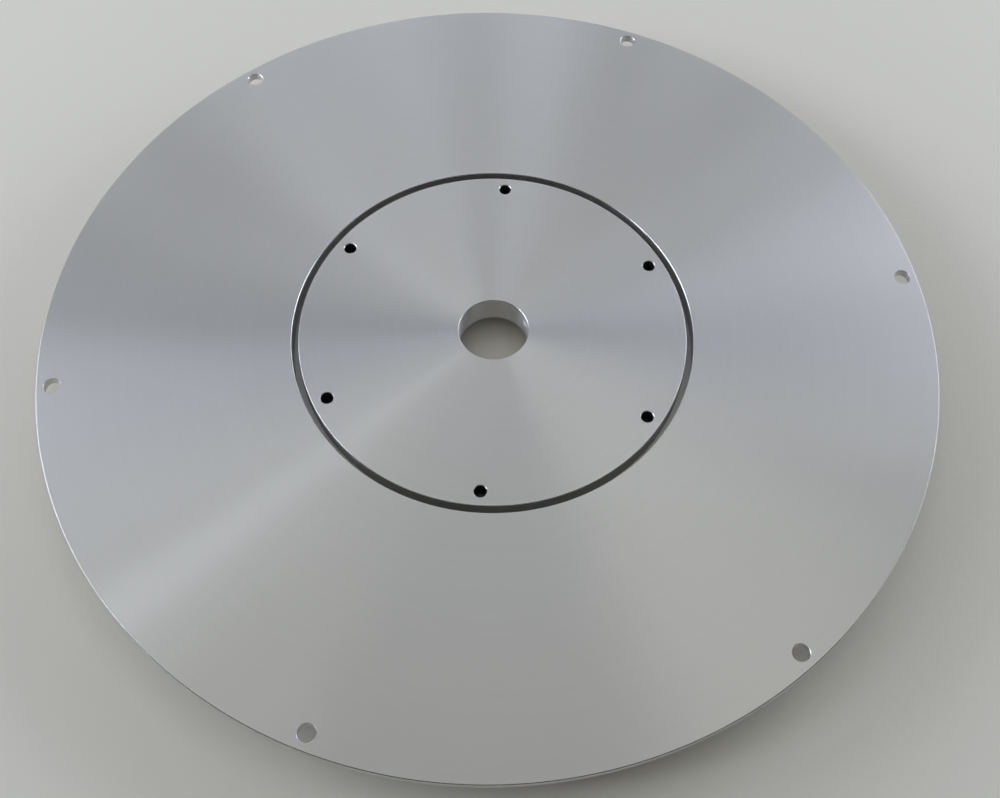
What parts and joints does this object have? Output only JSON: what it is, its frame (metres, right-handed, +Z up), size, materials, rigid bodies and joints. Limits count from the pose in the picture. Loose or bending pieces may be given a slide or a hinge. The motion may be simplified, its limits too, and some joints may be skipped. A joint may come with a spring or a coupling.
{
  "type": "banding wheel",
  "caption": "Low hand-spun pottery turntable: an annular aluminium wheelhead turning on a caged ball race round a fixed, flush hub disc.",
  "frame": {"origin": "on the table, under the spin axis, at the underside of the feet", "axes": "+Z up along the spin axis; +X to the right and +Y away from the user; a tapped hub hole lies on +Y"},
  "size_m": [0.3, 0.3, 0.016],
  "materials": {
    "turned_aluminium": "fine lathe-faced, bright chamfers",
    "sheet_aluminium": "satin, as rolled",
    "race_steel": "ground and hardened",
    "ball_steel": "polished",
    "black_steel": "black oxide",
    "foot_rubber": "matte",
    "cage_nylon": "natural nylon"
  },
  "bodies": {
    "base": {"hub_disc": "turned_aluminium", "base_plate": "sheet_aluminium", "lower_race": "race_steel", "base_screw_1": "black_steel", "base_screw_2": "black_steel", "base_screw_3": "black_steel", "base_screw_4": "black_steel", "base_screw_5": "black_steel", "base_screw_6": "black_steel", "foot_1": "foot_rubber", "foot_2": "foot_rubber", "foot_3": "foot_rubber", "foot_4": "foot_rubber", "foot_5": "foot_rubber", "foot_6": "foot_rubber"},
    "head": {"wheelhead": "turned_aluminium", "upper_race": "race_steel", "keeper_ring": "sheet_aluminium", "keeper_screw_1": "black_steel", "keeper_screw_2": "black_steel", "keeper_screw_3": "black_steel", "keeper_screw_4": "black_steel", "keeper_screw_5": "black_steel", "keeper_screw_6": "black_steel"},
    "ball_set": {"ball_cage": "cage_nylon", "ball_1": "ball_steel", "ball_2": "ball_steel", "ball_3": "ball_steel", "ball_4": "ball_steel", "ball_5": "ball_steel", "ball_6": "ball_steel", "ball_7": "ball_steel", "ball_8": "ball_steel", "ball_9": "ball_steel", "ball_10": "ball_steel", "ball_11": "ball_steel", "ball_12": "ball_steel", "ball_13": "ball_steel", "ball_14": "ball_steel", "ball_15": "ball_steel", "ball_16": "ball_steel", "ball_17": "ball_steel", "ball_18": "ball_steel"}
  },
  "joints": [
    {"name": "wheel_spin", "type": "hinge", "parent": "base", "child": "head", "pos_m": [0, 0, 0], "axis": [0, 0, 1], "continuous": true},
    {"name": "cage_spin", "type": "hinge", "parent": "base", "child": "ball_set", "pos_m": [0, 0, 0], "axis": [0, 0, 1], "continuous": true}
  ],
  "couplings": [
    {"joint": "cage_spin", "follows": "wheel_spin", "ratio": 0.5}
  ]
}
